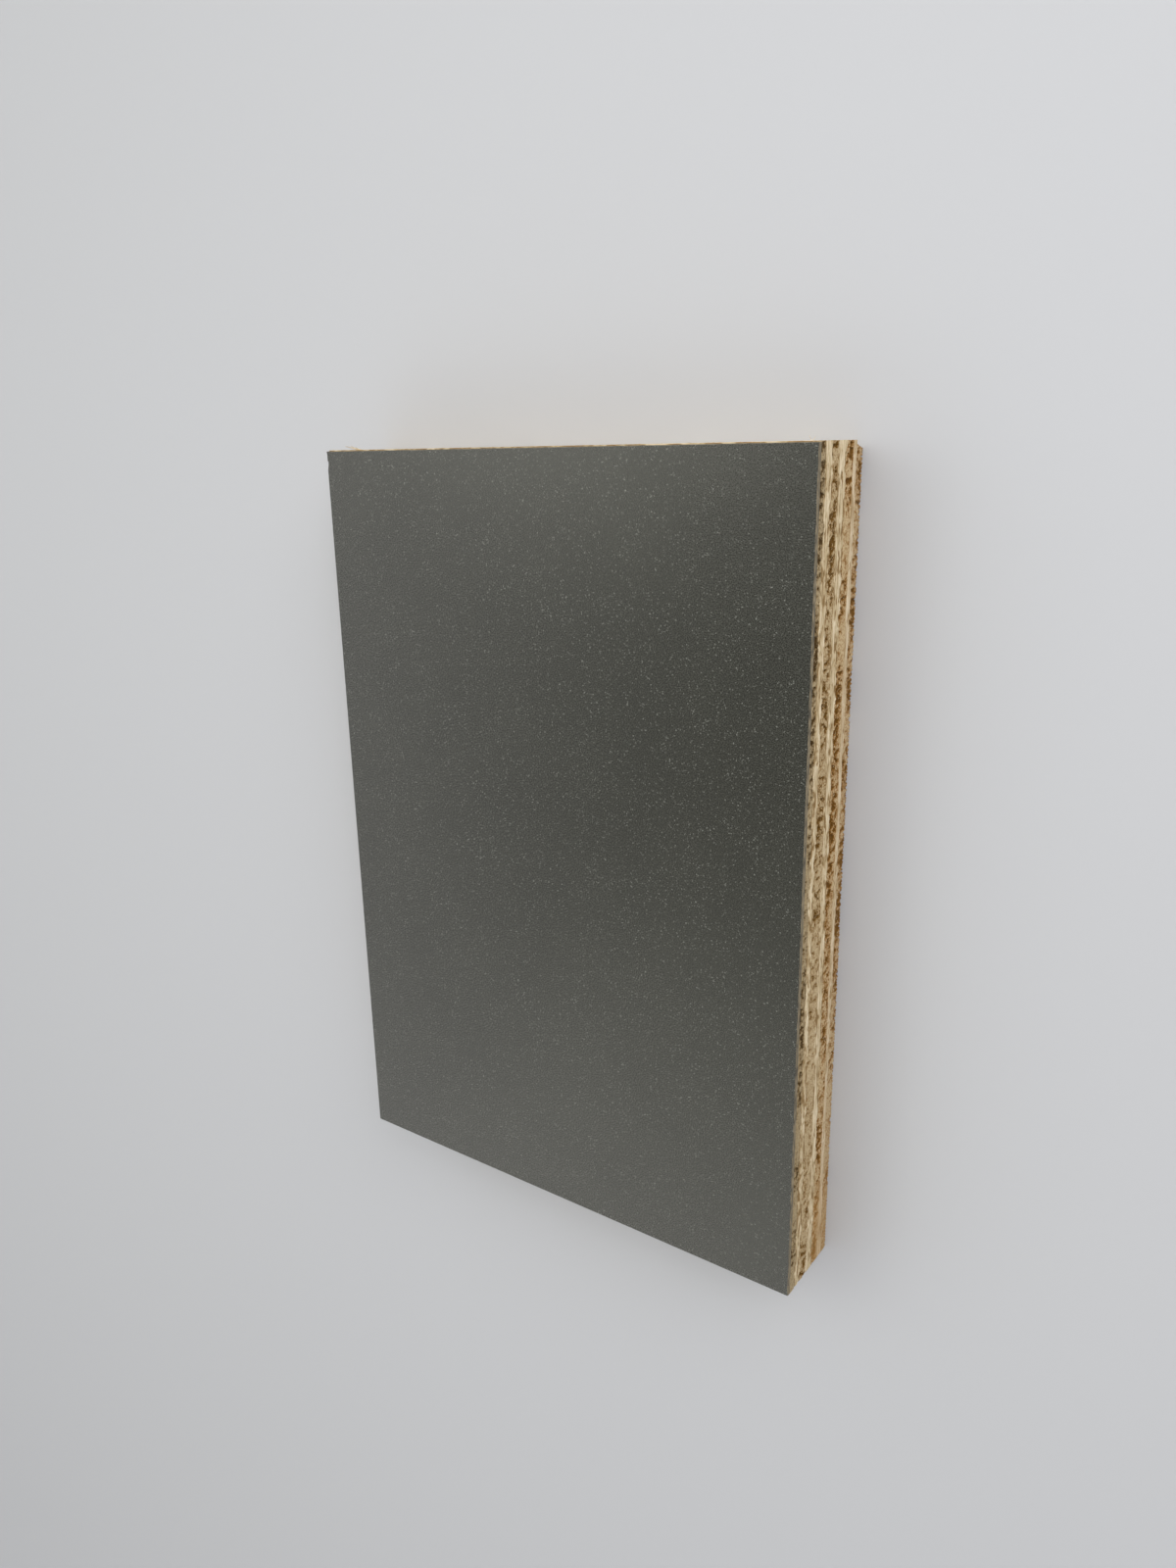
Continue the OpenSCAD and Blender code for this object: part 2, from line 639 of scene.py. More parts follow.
@dataclass(frozen=True)
class SawCut:
    """What the saw did to a veneer's edge, with depths and pitches in millimetres."""

    seed: float
    # How torn the end grain is as a whole
    bite: float
    # Depths of the relief, and how much is taken off it so that calm places stay flush
    pocket_depth: float = 0.26
    groove_depth: float = 0.1
    rough_depth: float = 0.07
    fine_depth: float = 0.05
    rim_depth: float = 0.04
    end_skin: float = 0.03
    long_skin: float = 0.02
    # End grain: marks of the teeth, wide patches, clumps of fibres, single fibres and smears
    tooth_pitch: float = 0.85
    tooth_weight: float = 0.12
    warp: Ripple = Ripple(0.35, 0.5, 5.0, 0.9)
    patch: Ripple = Ripple(0.13, 0.25, 0.0, 0.75)
    clump: Ripple = Ripple(1.2, 0.7, 9.0, 0.9)
    fine: Ripple = Ripple(3.6, 2.2, 13.0, 0.45)
    smear: Ripple = Ripple(0.8, 2.4, 15.0, 0.5)
    # Sums of the weights from which end grain is rough or pitted, and those at which it is wholly so
    rough_span: tuple[float, float] = (-0.1, 0.9)
    pit_span: tuple[float, float] = (0.5, 0.85)
    # Beside a glue line: the share of the thickness that is calmer, and what is left of the relief there
    end_rim_share: float = 0.18
    rim_rough_share: float = 0.4
    rim_pit_share: float = 0.3
    # Long grain: the lean of the fibres in millimetres, streaks, single fibres and worn patches
    lean: Ripple = Ripple(0.3, 0.3, 17.0, 0.25)
    streak: Ripple = Ripple(0.25, 2.2, 21.0, 0.8)
    strand: Ripple = Ripple(1.1, 3.8, 25.0, 0.6)
    worn: Ripple = Ripple(0.5, 0.9, 29.0, 0.8)
    torn_span: tuple[float, float] = (0.05, 0.75)
    # Beside a glue line: the share of the thickness that is more torn, and by how much
    long_rim_share: float = 0.2
    long_rim_weight: float = 0.6
    # Back arris: marks of the teeth and single chips
    back_tooth_pitch: float = 0.65
    back_tooth_depth: float = 0.3
    back_chip_depth: float = 0.2
    back_chip_span: tuple[float, float] = (0.0, 0.6)

    def end_grain(self, along: float, height: float, share: float, more: float) -> tuple[float, float]:
        """Relief where the fibres meet the cut.

        Args:
            along: place along the edge.
            height: height above the back.
            share: place between the veneer's two glue lines, from 0 to 1.
            more: how much more torn this place is than the rest.

        Returns:
            Depth under the cut, and how torn the wood is, from 0 to 1.
        """
        here = (along, height, self.seed)
        turn = (along + height) / self.tooth_pitch + self.warp.weight * self.warp.at(*here)
        tooth = (1.0 + math.cos(math.tau * turn)) / 2.0
        fine = self.fine.at(*here)
        value = self.bite + more + self.tooth_weight * tooth + self.fine.weight * fine
        value += self.clump.weight * self.clump.at(*here) + self.patch.weight * self.patch.at(*here)
        smeared = value + self.smear.weight * self.smear.at(*here)
        middle = min(1.0, min(share, 1.0 - share) / self.end_rim_share)
        rough = smooth_step(*self.rough_span, smeared)
        rough *= self.rim_rough_share + (1.0 - self.rim_rough_share) * middle
        pit = smooth_step(*self.pit_span, value)
        pit *= self.rim_pit_share + (1.0 - self.rim_pit_share) * middle
        depth = self.pocket_depth * pit + self.rough_depth * rough + self.fine_depth * fine
        # The pits cut deepest also get the darkest colour, which partly paints their shade
        return max(0.0, depth - self.end_skin), (rough + pit) / 2.0

    def long_grain(self, along: float, height: float, share: float, more: float) -> tuple[float, float]:
        """Relief where the fibres run along the cut.

        Args:
            along: place along the edge.
            height: height above the back.
            share: place between the veneer's two glue lines, from 0 to 1.
            more: how much more torn this place is than the rest.

        Returns:
            Depth under the cut, and how torn the wood is, from 0 to 1.
        """
        leaning = height + self.lean.weight * self.lean.at(along, height, self.seed)
        strand = self.strand.at(along, leaning, self.seed)
        rim = 1.0 - min(1.0, min(share, 1.0 - share) / self.long_rim_share)
        value = more + self.long_rim_weight * rim + self.strand.weight * strand
        value += self.streak.weight * self.streak.at(along, leaning, self.seed)
        value += self.worn.weight * self.worn.at(along, height, self.seed)
        torn = smooth_step(*self.torn_span, value)
        depth = self.groove_depth * torn + self.rim_depth * rim + self.fine_depth * strand
        return max(0.0, depth - self.long_skin), torn

    def back_chips(self, along: float, side: float) -> float:
        """Work out how deep the teeth chipped the back arris.

        Args:
            along: place along the edge.
            side: shift that sets opposite edges apart.

        Returns:
            Depth in millimetres.
        """
        # The first number is a rate to a millimetre, and the second only picks another row of the noise
        chip = smooth_step(*self.back_chip_span, noise.noise(Vector((along * 1.3, 3.0, side))))
        stray = noise.noise(Vector((along * 0.5, 7.0, side)))
        weight = 0.6 + 0.8 * noise.noise(Vector((along * 0.9, 9.0, side)))
        tooth = max(0.0, math.cos(math.tau * (along / self.back_tooth_pitch + stray)))
        return self.back_chip_depth * chip + self.back_tooth_depth * tooth * weight


def panel_blank(long_step_mm: float, short_step_mm: float, rows: int) -> bmesh.types.BMesh:
    """Block out a layer as a unit-high slab whose edges are cut fine and whose faces are long strips.

    Args:
        long_step_mm: length of a step along the long edges.
        short_step_mm: length of a step along the short edges.
        rows: steps through the thickness.

    Returns:
        A closed mesh from 0 to 1 in Z, in millimetres in X and Y.
    """
    blank = bmesh.new()
    # The unit grid has rows of vertices at a half and at a sixth
    bmesh.ops.create_grid(blank, x_segments=1, y_segments=3, size=0.5)
    for vert in blank.verts:
        inner = abs(vert.co.y) < 0.4
        reach = PANEL_L / 2 - CORNER_CELL if inner else PANEL_L / 2
        vert.co = Vector((math.copysign(PANEL_W / 2, vert.co.x), math.copysign(reach, vert.co.y), 0.0))
    across = [e for e in blank.edges if abs(e.verts[0].co.y - e.verts[1].co.y) < EDGE_SLACK]
    sides = [e for e in blank.edges if e not in across]
    corners = [e for e in sides if e.calc_length() < 2.0 * CORNER_CELL]
    runs = [e for e in sides if e.calc_length() > 2.0 * CORNER_CELL]
    run_steps = round((PANEL_L - 2.0 * CORNER_CELL) / long_step_mm)
    bmesh.ops.subdivide_edges(blank, edges=runs, cuts=run_steps - 1)
    bmesh.ops.subdivide_edges(blank, edges=across, cuts=round(PANEL_W / short_step_mm) - 1)
    bmesh.ops.bisect_edges(blank, edges=corners, cuts=round(CORNER_CELL / long_step_mm) - 1)
    raised = bmesh.ops.extrude_face_region(blank, geom=blank.faces[:])
    top = [v for v in raised["geom"] if isinstance(v, bmesh.types.BMVert)]
    bmesh.ops.translate(blank, verts=top, vec=(0.0, 0.0, 1.0))
    uprights = [e for e in blank.edges if abs(e.verts[0].co.z - e.verts[1].co.z) > EDGE_SLACK]
    bmesh.ops.subdivide_edges(blank, edges=uprights, cuts=rows - 1)
    bmesh.ops.recalc_face_normals(blank, faces=blank.faces[:])
    return blank


def finished(name: str, shape: bmesh.types.BMesh) -> bpy.types.Object:
    """Turn a shape in millimetres into a piece at the origin.

    Args:
        name: the piece's name.
        shape: its mesh, which is freed.

    Returns:
        The piece, linked to the scene.
    """
    bmesh.ops.scale(shape, vec=(MM, MM, MM), verts=shape.verts[:])
    mesh = bpy.data.meshes.new(name)
    shape.to_mesh(mesh)
    shape.free()
    piece = bpy.data.objects.new(name, mesh)
    bpy.context.scene.collection.objects.link(piece)
    return piece


@dataclass(frozen=True)
class Sliver:
    """A thin tapered fibre, in millimetres."""

    root: Vector
    tip: Vector
    width_mm: float
    tip_share: float = 0.25
    sides: int = 4

    def add_to(self, shape: bmesh.types.BMesh) -> None:
        """Add the fibre to a mesh.

        Args:
            shape: mesh in millimetres.
        """
        way = self.tip - self.root
        turn = way.to_track_quat("Z", "Y").to_matrix().to_4x4()
        bmesh.ops.create_cone(
            shape,
            cap_ends=True,
            segments=self.sides,
            radius1=self.width_mm / 2,
            radius2=self.width_mm / 2 * self.tip_share,
            depth=way.length,
            matrix=Matrix.Translation((self.root + self.tip) / 2) @ turn,
        )


@dataclass(frozen=True)
class CornerBreak:
    """Wood that broke away from the back at the upper right corner, in millimetres and degrees."""

    run: float = 7.0
    drop: float = 1.2
    lean: float = 15.0
    # Share of the saw's relief that is left along the upper edge of the broken veneer
    relief_share: float = 0.6

    def top_at(self, x_mm: float, height: float) -> float:
        """Work out where the upper edge is left.

        Args:
            x_mm: place across the panel.
            height: height above the back.

        Returns:
            Place up the panel.
        """
        slope = self.drop / self.run * (PANEL_W / 2 - x_mm)
        rise = height * math.tan(math.radians(self.lean))
        return min(PANEL_L / 2, PANEL_L / 2 - self.drop + slope + rise)


@dataclass
class SawnVeneer:
    """One veneer of the panel, with its four sawn edges."""

    node: str
    grain: Grain
    lower: GlueLine
    upper: GlueLine
    cut: SawCut
    finish: VeneerFinish
    # How much calmer the cut is low down on the right-hand edge, and on the hidden edges
    calm: float
    hidden_calm: float = 0.3
    calm_from_mm: float = -5.0
    calm_to_mm: float = -45.0
    places: tuple[TornPlace, ...] = ()
    splinters: tuple[Sliver, ...] = ()
    corner: CornerBreak | None = None
    back: PeeledFaceFinish | None = None
    # Height above the back to which the back arris is chipped
    chipped_mm: float = 0.8
    # Steps of the mesh along the long and the short edges and up them
    long_step_mm: float = 0.12
    short_step_mm: float = 0.18
    row_mm: float = 0.14
    # Loose fibres: number, length, width, lean in degrees with its scatter, and how far in and out they are
    loose_fibres: int = 600
    fibre_length_mm: tuple[float, float] = (0.3, 0.9)
    fibre_width_mm: tuple[float, float] = (0.05, 0.11)
    fibre_lean: tuple[float, float] = (-40.0, 18.0)
    fibre_sunk_mm: tuple[float, float] = (0.04, 0.16)
    fibre_out_mm: tuple[float, float] = (-0.05, 0.1)
    fibre_clear_mm: float = 0.05
    corner_clear_mm: float = 2.5

    def thickness(self) -> float:
        """Thickness of the veneer in millimetres, without the stray of its glue lines."""
        return self.upper.height_mm - self.lower.height_mm

    def more_torn(self, x: float, y: float, share: float) -> float:
        """How much more torn than the rest a place is.

        Args:
            x: place across the panel.
            y: place up the panel.
            share: place between the two glue lines.

        Returns:
            A number to add to the tear, below 0 where the cut is calmer.
        """
        if x < PANEL_W / 2 - EDGE_SLACK:
            return -self.hidden_calm
        more = -self.calm * smooth_step(self.calm_from_mm, self.calm_to_mm, y)
        for place in self.places:
            off = math.hypot(PANEL_L / 2 - y - place.down_mm, (share - place.share) * self.thickness())
            more += place.weight * math.exp(-((off / place.reach_mm) ** 2))
        return more

    def build(self) -> bpy.types.Object:
        """Make the veneer's mesh, with how torn it is and where it shows end grain.

        Returns:
            The piece.
        """
        shape = panel_blank(self.long_step_mm, self.short_step_mm, round(self.thickness() / self.row_mm))
        self.saw_edges(shape)
        if self.back:
            self.mark_back(shape)
        self.add_loose(shape)
        return finished(f"{self.node}_veneer", shape)

    def saw_edges(self, shape: bmesh.types.BMesh) -> None:
        """Bring a blank to the veneer's thickness and cut its edges.

        Args:
            shape: unit-high blank, in millimetres in X and Y.
        """
        tear = shape.verts.layers.float.new("tear")
        ends = shape.verts.layers.float.new("end_grain")
        for vert in shape.verts:
            x, y, share = vert.co
            low, high = self.lower.height_at(x, y), self.upper.height_at(x, y)
            height = low + (high - low) * share
            long_edge, short_edge = on_long_edge(x), on_short_edge(y)
            shows_ends = long_edge == (self.grain is Grain.ACROSS)
            along, side = edge_place(x, y)
            relief = self.cut.end_grain if shows_ends else self.cut.long_grain
            depth, torn = relief(along + side, height, share, self.more_torn(x, y, share))
            if self.lower.height_mm == 0.0:
                chip = self.cut.back_chips(along, side) * (1.0 - smooth_step(0.0, self.chipped_mm, height))
                depth += chip
                torn = min(1.0, torn + chip)
            if self.corner and y > PANEL_L / 2 - CORNER_CELL + EDGE_SLACK:
                inner = PANEL_L / 2 - CORNER_CELL
                depth *= self.corner.relief_share
                y = inner + (y - inner) * (self.corner.top_at(x, height) - inner) / CORNER_CELL
            if long_edge:
                x -= math.copysign(depth, x)
            if short_edge:
                y -= math.copysign(depth, y)
            vert.co = Vector((x, y, height))
            vert[tear] = torn
            vert[ends] = 1.0 if shows_ends else 0.0

    def mark_back(self, shape: bmesh.types.BMesh) -> None:
        """Give the flat back the second material.

        Args:
            shape: mesh of the veneer in millimetres.
        """
        shape.normal_update()
        for face in shape.faces:
            flat = face.normal.z < -0.99 and face.verts[0].co.z < EDGE_SLACK
            face.material_index = 1 if flat else 0

    def add_loose(self, shape: bmesh.types.BMesh) -> None:
        """Add the loose fibres and the splinters.

        Args:
            shape: mesh of the veneer in millimetres.
        """
        fibres = bmesh.new()
        fibre_ends = fibres.verts.layers.float.new("end_grain")
        self.add_fibres(fibres)
        for vert in fibres.verts:
            vert[fibre_ends] = 1.0
        for sliver in self.splinters:
            sliver.add_to(fibres)
        loose = bpy.data.meshes.new("loose fibres")
        fibres.to_mesh(loose)
        fibres.free()
        shape.from_mesh(loose)
        bpy.data.meshes.remove(loose)

    def add_fibres(self, shape: bmesh.types.BMesh) -> None:
        """Add the loose fibres that the saw raised from the edges.

        Args:
            shape: mesh in millimetres that gets the fibres.
        """
        chance = random.Random(self.node)
        upright = Vector((0.0, 0.0, 1.0))
        for _ in range(self.loose_fibres):
            long_edge = chance.random() < PANEL_L / (PANEL_L + PANEL_W)
            far = math.copysign(1.0, chance.random() - 0.5)
            half, reach = (PANEL_L / 2, PANEL_W / 2) if long_edge else (PANEL_W / 2, PANEL_L / 2)
            along = chance.uniform(-half + self.corner_clear_mm, half - self.corner_clear_mm)
            run, out = Vector((0.0, 1.0, 0.0)), Vector((far, 0.0, 0.0))
            if not long_edge:
                run, out = Vector((1.0, 0.0, 0.0)), Vector((0.0, far, 0.0))
            root = run * along + out * reach
            low, high = self.lower.height_at(root.x, root.y), self.upper.height_at(root.x, root.y)
            length = chance.uniform(*self.fibre_length_mm)
            lean = math.radians(chance.gauss(*self.fibre_lean))
            way = run * math.cos(lean) + upright * math.sin(lean)
            root += upright * (low + (high - low) * chance.uniform(0.1, 0.9))
            root -= out * chance.uniform(*self.fibre_sunk_mm)
            tip = root + way * length + out * chance.uniform(*self.fibre_out_mm)
            tip.z = min(max(tip.z, self.fibre_clear_mm), PLIES_T - self.fibre_clear_mm)
            Sliver(root, tip, chance.uniform(*self.fibre_width_mm)).add_to(shape)

    def dress(self, piece: bpy.types.Object) -> None:
        """Give the veneer its material and its place in the frame.

        Args:
            piece: the veneer.
        """
        piece.data.materials.append(self.finish.material(self.node, self.grain))
        if self.back:
            piece.data.materials.append(self.back.material())
        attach(piece, "root")
        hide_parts(self.node)


@dataclass
class FaceLaminate:
    """Grey laminate on the face, with an eased arris, a chip near one corner and a sawn edge."""

    node: str = "face_laminate"
    arris_mm: float = 0.15
    eased_share: float = 0.55
    # Least upward part of a normal in the pressed face
    face_upward: float = 0.55
    # The sawn edge: how far it stands back, its ripple, and the small chips of its arris
    set_back_mm: float = 0.02
    ripple_mm: float = 0.012
    chip_mm: float = 0.06
    upper_set_back_mm: float = 0.17
    nick_length_mm: float = 3.2
    nick_depth_mm: float = 0.28
    nick_from_corner_mm: float = 0.4
    step_mm: float = 0.2
    rows: int = 8

    def nick(self, y_mm: float) -> float:
        """Work out how deep the chip in the left edge is.

        Args:
            y_mm: place up the panel.

        Returns:
            Depth in millimetres.
        """
        middle = PANEL_L / 2 - self.nick_from_corner_mm - self.nick_length_mm / 2
        off = abs(y_mm - middle) / (self.nick_length_mm / 2)
        return self.nick_depth_mm * max(0.0, 1.0 - off * off)

    def build(self) -> bpy.types.Object:
        """Make the laminate's mesh, with its face and its sawn edge in two materials.

        Returns:
            The piece.
        """
        shape = panel_blank(self.step_mm, self.step_mm, self.rows)
        for vert in shape.verts:
            x, y, share = vert.co
            height = share * LAMINATE_T
            long_edge, short_edge = on_long_edge(x), on_short_edge(y)
            along, side = edge_place(x, y)
            rise = smooth_step(LAMINATE_T - 2.0 * self.arris_mm, LAMINATE_T, height)
            chips = smooth_step(0.25, 0.8, noise.noise(Vector((along * 1.7, 4.0, side + height))))
            ripple = noise.noise(Vector((along * 0.9, height * 3.0, side + 40.0)))
            depth = self.set_back_mm + self.ripple_mm * ripple
            depth += self.arris_mm * self.eased_share * rise + self.chip_mm * chips * rise
            if long_edge:
                x -= math.copysign(depth + (self.nick(y) if x < 0.0 else 0.0), x)
            if short_edge:
                y -= math.copysign(depth + (self.upper_set_back_mm if y > 0.0 else 0.0), y)
            vert.co = Vector((x, y, PLIES_T + height))
        shape.normal_update()
        for face in shape.faces:
            face.material_index = 0 if face.normal.z > self.face_upward else 1
        return finished("laminate_face", shape)

    def dress(self, piece: bpy.types.Object) -> None:
        """Give the laminate its two materials and its place in the frame.

        Args:
            piece: the laminate.
        """
        piece.data.materials.append(LaminateFinish().material())
        piece.data.materials.append(CutLaminateFinish().material())
        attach(piece, "root")
        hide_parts(self.node)


@dataclass
class Plywood:
    """The seven veneers and the glue lines between them, from the face to the back."""

    thicknesses_mm: tuple[float, ...] = (1.7, 2.1, 2.5, 2.5, 2.6, 1.4, 2.2)
    # The glue lines: how far they stray and fray, and the length and start of their waves
    stray_mm: float = 0.25
    fray_mm: float = 0.42
    wave_mm: float = 150.0
    wave_shares: tuple[float, ...] = (1.05, 1.0, 1.2, 0.7, 0.35, 0.4)
    stray_shares: tuple[float, ...] = (0.9, 1.0, 1.1, 0.8, 0.5, 0.5)
    start_shares: tuple[float, ...] = (0.05, 0.3, 0.1, 0.95, 0.55, 0.15)
    fray_shares: tuple[float, ...] = (1.0, 1.1, 1.0, 0.9, 0.18, 0.14)
    # The veneers: how torn each is as a whole, and how much calmer low down
    bites: tuple[float, ...] = (0.34, 0.16, 0.28, 0.16, 0.26, 0.16, 0.34)
    calms: tuple[float, ...] = (0.16, -0.14, 0.06, 0.12, -0.04, 0.2, 0.3)

    def glue_lines(self) -> list[GlueLine]:
        """Lay out the lines between the layers.

        Returns:
            The bed of the laminate, the glue lines and the flat back, in that order.
        """
        height = sum(self.thicknesses_mm)
        lines = [GlueLine(height)]
        for k, thick in enumerate(self.thicknesses_mm[:-1]):
            height -= thick
            stray = self.stray_mm * self.stray_shares[k]
            wave = self.wave_mm * self.wave_shares[k]
            fray = self.fray_mm * self.fray_shares[k]
            lines.append(GlueLine(height, stray, wave, self.start_shares[k], fray))
        return lines + [GlueLine(0.0)]

    def places(self, k: int) -> tuple[TornPlace, ...]:
        """List the torn and the calm places of a veneer, most of them near the upper corner.

        Args:
            k: number of the veneer, from 0 at the face.

        Returns:
            The places on the right-hand edge.
        """
        by_veneer = {
            0: (
                TornPlace(0.3, 0.4, 0.5, 0.9),
                TornPlace(2.0, 0.6, 0.8, -0.5),
                TornPlace(3.2, 0.5, 0.5, 0.8),
                TornPlace(8.5, 0.6, 0.7, 0.7),
                TornPlace(14.1, 0.5, 0.5, 0.6),
                TornPlace(17.0, 0.5, 0.5, 0.7),
            ),
            1: (TornPlace(0.7, 0.5, 0.9, -0.6),),
            2: (
                TornPlace(0.5, 0.3, 0.6, 0.9),
                TornPlace(2.2, 0.5, 0.9, -0.4),
                TornPlace(4.6, 0.6, 0.7, 0.6),
                TornPlace(8.2, 0.5, 0.9, -0.5),
                TornPlace(10.4, 0.5, 0.5, 0.5),
                TornPlace(14.1, 0.6, 0.45, 0.35),
                TornPlace(15.5, 0.6, 0.45, 0.3),
                TornPlace(17.2, 0.6, 0.45, 0.3),
                TornPlace(72.0, 0.5, 20.0, 0.22),
            ),
            3: (TornPlace(1.2, 0.6, 1.4, -0.6),),
            4: (
                TornPlace(1.3, 0.5, 1.5, 0.45),
                TornPlace(0.4, 0.5, 0.45, 0.5),
                TornPlace(1.3, 0.45, 0.4, 0.5),
                TornPlace(2.2, 0.45, 0.38, 0.5),
                TornPlace(4.2, 0.5, 0.9, -0.4),
                TornPlace(6.5, 0.85, 0.8, 0.6),
                TornPlace(28.0, 0.5, 5.0, -0.35),
            ),
            5: (TornPlace(30.0, 0.5, 45.0, -0.25),),
            6: (TornPlace(72.0, 0.5, 20.0, 0.4),),
        }
        return by_veneer[k]

    def finish(self, k: int) -> VeneerFinish:
        """Choose the finish of a veneer: greyer behind the laminate, warmer at the foot of the last three.

        Args:
            k: number of the veneer, from 0 at the face.

        Returns:
            The finish.
        """
        if k == 0:
            return VeneerFinish(fibre="#b09d7b", torn="#806b49", pit_brown_and_shade="#493412")
        if k == 4:
            return VeneerFinish(fibre="#c6b08a", torn="#966f3c", pit_brown_and_shade="#67440c", foot_share=0.45)
        if k == 5:
            return VeneerFinish(
                pale="#dfcfb4", streak="#c3ad8b", shade="#9a7f58", foot="#b8966a", foot_share=0.45
            )
        if k == 6:
            return VeneerFinish(torn="#956f3f", pit_brown_and_shade="#6b4916", foot_share=0.4)
        return VeneerFinish()

    def splinters(self, k: int) -> tuple[Sliver, ...]:
        """List the splinters that stand on the upper edge of a veneer.

        Args:
            k: number of the veneer, from 0 at the face.

        Returns:
            The splinters, of which only the first veneer has any.
        """
        if k != 0:
            return ()
        top = PANEL_L / 2
        ends = (
            ((-41.7, top - 0.08, 14.8), (-45.7, top + 0.65, 14.9), 0.3),
            ((-43.0, top + 0.1, 14.8), (-44.2, top + 0.75, 14.9), 0.2),
            ((-42.2, top - 0.05, 14.6), (-43.4, top + 0.5, 14.7), 0.18),
            ((48.3, top - 0.1, 14.6), (47.9, top + 0.75, 14.7), 0.1),
            ((48.3, top - 0.1, 14.5), (48.9, top + 0.6, 14.6), 0.1),
        )
        return tuple(Sliver(Vector(root), Vector(tip), width) for root, tip, width in ends)

    def veneers(self) -> list[SawnVeneer]:
        """Lay up the veneers, each with its fibres crossed over those of the last.

        Returns:
            The veneers, from the face to the back.
        """
        lines = self.glue_lines()
        made = []
        for k in range(len(self.thicknesses_mm)):
            last = k == len(self.thicknesses_mm) - 1
            made.append(
                SawnVeneer(
                    node=f"ply_{k + 1}",
                    grain=Grain.ACROSS if k % 2 == 0 else Grain.ALONG,
                    lower=lines[k + 1],
                    upper=lines[k],
                    cut=SawCut(seed=17.0 * k + 3.0, bite=self.bites[k]),
                    finish=self.finish(k),
                    calm=self.calms[k],
                    places=self.places(k),
                    splinters=self.splinters(k),
                    corner=CornerBreak() if last else None,
                    back=PeeledFaceFinish() if last else None,
                )
            )
        return made


@dataclass(frozen=True)
class SoftLamp:
    """A soft lamp that looks at the panel, with its place and size in metres and its spread in degrees."""

    name: str
    place: tuple[float, float, float]
    size: tuple[float, float]
    watts: float
    spread: float
    colour: str

    def hang(self) -> None:
        """Hang the lamp in the scene."""
        data = bpy.data.lights.new(self.name, "AREA")
        data.shape = "RECTANGLE"
        data.size, data.size_y = self.size
        data.energy = self.watts
        data.spread = math.radians(self.spread)
        data.color = linear(self.colour)[:3]
        lamp = bpy.data.objects.new(self.name, data)
        lamp.location = self.place
        lamp.rotation_mode = "QUATERNION"
        lamp.rotation_quaternion = (-Vector(self.place)).to_track_quat("-Z", "Y")
        lamp.visible_camera = False
        bpy.context.scene.collection.objects.link(lamp)


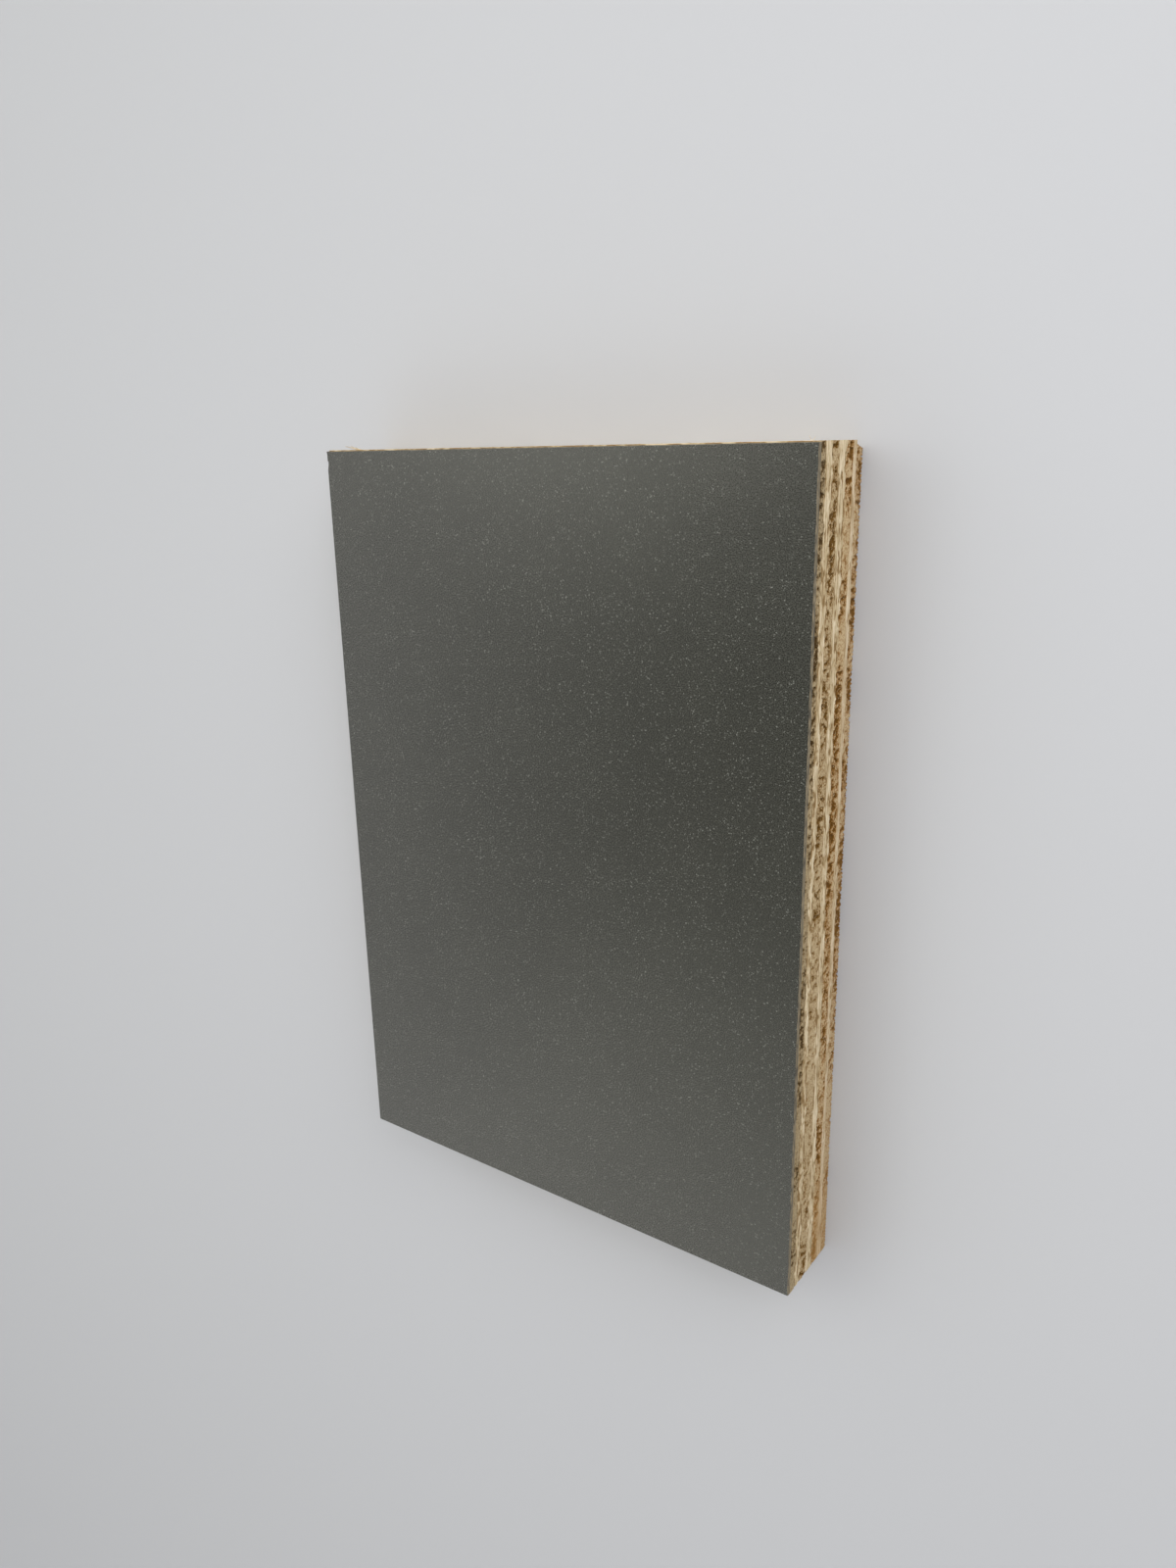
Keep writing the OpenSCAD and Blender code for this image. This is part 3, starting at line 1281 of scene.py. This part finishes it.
@dataclass
class Studio:
    """Pale floor, soft lamps and the camera."""

    floor_colour: str = "#bfc0c4"
    floor_roughness: float = 0.9
    floor_half_mm: float = 4000.0
    floor_gap_mm: float = 0.05
    camera_mm: tuple[float, float, float] = (119.25, 71.76, 170.32)
    ahead: tuple[float, float, float] = (-0.55653, -0.28397, -0.78079)
    right: tuple[float, float, float] = (0.81738, -0.01874, -0.5758)
    lens_mm: float = 26.146
    sensor_mm: float = 36.0
    clip_m: tuple[float, float] = (0.01, 50.0)
    # The room: its level, how much brighter its left is, and the way and degrees of a dull spot in it
    room_colour: str = "#ffffff"
    room_level: float = 0.75
    room_tilt: float = 0.42
    dull_way: tuple[float, float, float] = (-0.32, -0.265, 0.909)
    dull_reach: float = 26.0
    # Level at which the room behind the floor looks like its far end
    far_level: float = 0.714
    lamps: tuple[SoftLamp, ...] = (
        SoftLamp("key", (0.36, 0.36, 0.3), (0.42, 0.42), 0.61, 84.0, "#ffffff"),
        SoftLamp("upper left", (-0.27, 0.33, 0.62), (0.75, 0.35), 1.28, 180.0, "#fffff0"),
        SoftLamp("lower left", (-0.22, -0.6, 0.66), (0.7, 0.35), 0.4, 180.0, "#fffff0"),
    )

    def floor(self) -> None:
        """Lay a plain pale floor just under the panel."""
        shape = bmesh.new()
        bmesh.ops.create_grid(shape, x_segments=1, y_segments=1, size=self.floor_half_mm)
        bmesh.ops.translate(shape, verts=shape.verts[:], vec=(0.0, 0.0, -self.floor_gap_mm))
        piece = finished("floor", shape)
        # Matt paint gives the eye an even pale ground without reflections
        material, tree = new_material("painted board, matt")
        shader = add_node(
            tree,
            "ShaderNodeBsdfPrincipled",
            {},
            {"Base Color": linear(self.floor_colour), "Roughness": self.floor_roughness},
        )
        add_node(tree, "ShaderNodeOutputMaterial", {}, {"Surface": shader.outputs["BSDF"]})
        piece.data.materials.append(material)

    def light(self) -> None:
        """Light the panel softly from all round, with one lamp for the sawn edge on the right."""
        world = bpy.data.worlds.new("soft room")
        world.use_nodes = True
        tree = world.node_tree
        tree.nodes.clear()
        way = add_node(tree, "ShaderNodeTexCoord", {}, {}).outputs["Generated"]
        towards = add_node(
            tree, "ShaderNodeVectorMath", {"operation": "DOT_PRODUCT"}, {0: way, 1: self.dull_way}
        ).outputs["Value"]
        open_share = add_node(
            tree,
            "ShaderNodeMapRange",
            {},
            {
                "Value": towards,
                "From Min": math.cos(math.radians(self.dull_reach)),
                "From Max": 1.0,
                "To Min": 1.0,
                "To Max": 0.0,
            },
        ).outputs["Result"]
        sideways = add_node(tree, "ShaderNodeSeparateXYZ", {}, {"Vector": way}).outputs["X"]
        tilted = add_node(
            tree,
            "ShaderNodeMath",
            {"operation": "MULTIPLY_ADD"},
            {0: sideways, 1: -self.room_tilt, 2: self.room_level},
        ).outputs[0]
        level = add_node(
            tree, "ShaderNodeMath", {"operation": "MULTIPLY"}, {0: tilted, 1: open_share}
        ).outputs[0]
        room = add_node(
            tree, "ShaderNodeBackground", {}, {"Color": linear(self.room_colour), "Strength": level}
        )
        pale = add_node(
            tree,
            "ShaderNodeBackground",
            {},
            {"Color": linear(self.floor_colour), "Strength": self.far_level},
        )
        seen = add_node(tree, "ShaderNodeLightPath", {}, {}).outputs["Is Camera Ray"]
        mixed = add_node(
            tree, "ShaderNodeMixShader", {}, {0: seen, 1: room.outputs[0], 2: pale.outputs[0]}
        )
        add_node(tree, "ShaderNodeOutputWorld", {}, {"Surface": mixed.outputs[0]})
        bpy.context.scene.world = world
        for lamp in self.lamps:
            lamp.hang()

    def camera(self) -> None:
        """Set the camera where the photograph was taken from."""
        data = bpy.data.cameras.new("camera")
        data.sensor_width = self.sensor_mm
        data.lens = self.lens_mm
        data.clip_start, data.clip_end = self.clip_m
        right = Vector(self.right).normalized()
        back = -Vector(self.ahead).normalized()
        up = back.cross(right).normalized()
        turn = Matrix((right, up, back)).transposed().to_4x4()
        camera = bpy.data.objects.new("camera", data)
        camera.matrix_world = Matrix.Translation(Vector(self.camera_mm) * MM) @ turn
        bpy.context.scene.collection.objects.link(camera)
        bpy.context.scene.camera = camera


def main() -> None:
    """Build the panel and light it."""
    logging.basicConfig(level=logging.INFO, format="%(name)s: %(message)s")
    bpy.context.scene.view_settings.view_transform = "Standard"
    studio = Studio()
    studio.floor()
    studio.light()
    studio.camera()
    layers = [FaceLaminate(), *Plywood().veneers()]
    for layer in layers:
        piece = layer.build()
        layer.dress(piece)
        LOG.info("%s: %d faces", piece.name, len(piece.data.polygons))


if __name__ == "__main__":
    main()
